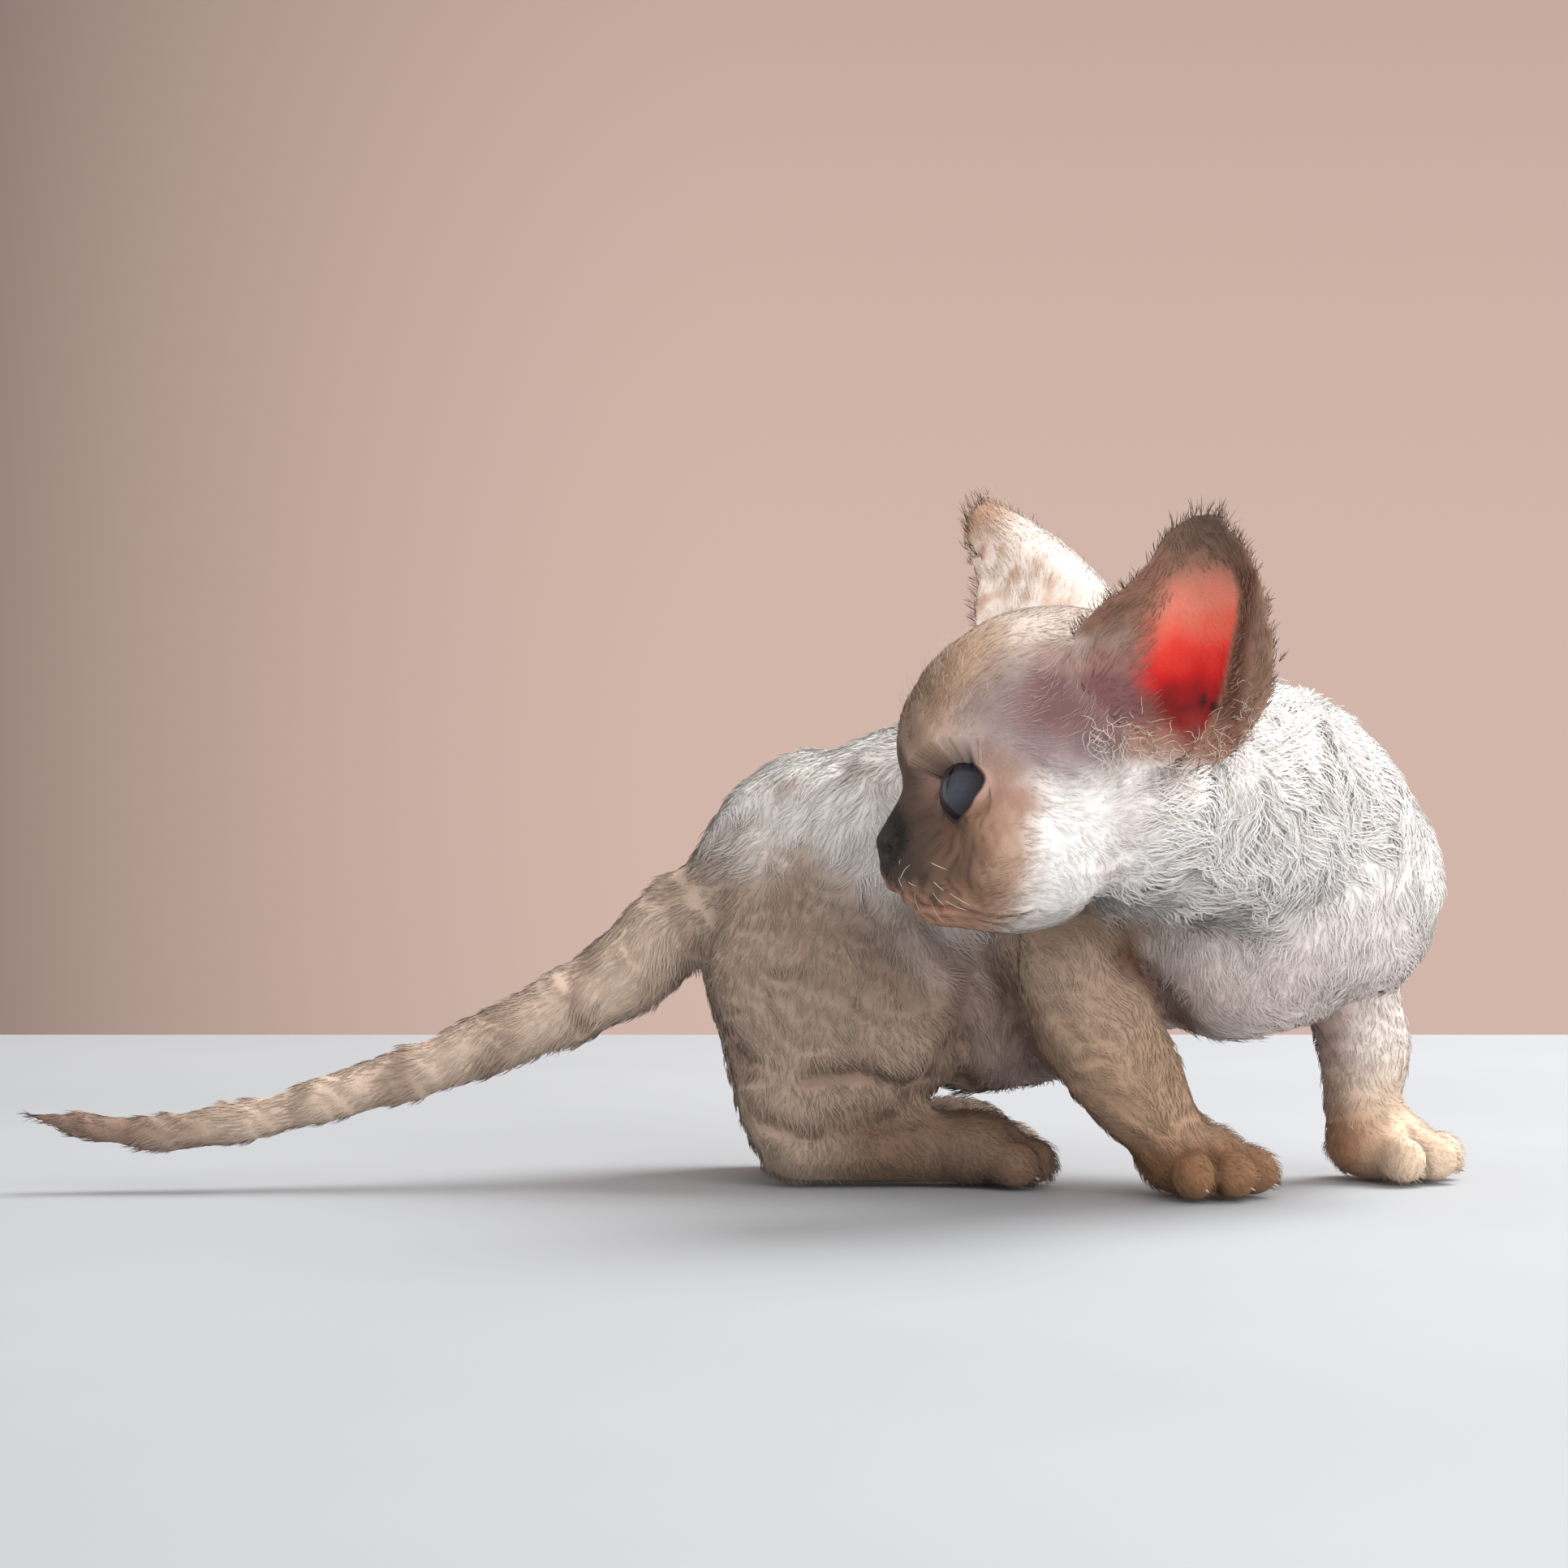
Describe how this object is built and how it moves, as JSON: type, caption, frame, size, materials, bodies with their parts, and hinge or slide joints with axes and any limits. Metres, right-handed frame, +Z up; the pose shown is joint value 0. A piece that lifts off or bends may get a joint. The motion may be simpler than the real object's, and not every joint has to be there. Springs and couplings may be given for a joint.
{
  "type": "devon rex kitten model",
  "caption": "Still life-size model of a young devon rex cat crouching with its head turned back over its right shoulder.",
  "frame": {"origin": "on the floor, under the middle of the box round the whole kitten", "axes": "+Z up; +X from the rump towards the chest; the kitten's right flank faces -Y"},
  "size_m": [0.319, 0.1344, 0.1495],
  "materials": {
    "coat_cream": "soft curly short fur",
    "coat_tan": "short wavy fur",
    "coat_mask": "very short fur over skin",
    "ear_skin": "bare skin with short fur on the back",
    "eye": "wet gloss"
  },
  "bodies": {
    "root": {"torso": "coat_cream", "neck": "coat_cream", "head": "coat_mask", "ear_left": "ear_skin", "ear_right": "ear_skin", "eye_left": "eye", "eye_right": "eye", "foreleg_right": "coat_tan", "foreleg_left": "coat_tan", "forepaw_right": "coat_tan", "forepaw_left": "coat_tan", "hind_leg_right": "coat_tan", "hind_leg_left": "coat_tan", "hind_foot_right": "coat_tan", "hind_foot_left": "coat_tan", "tail_root": "coat_tan", "tail_middle": "coat_tan", "tail_tip": "coat_tan"}
  },
  "joints": []
}
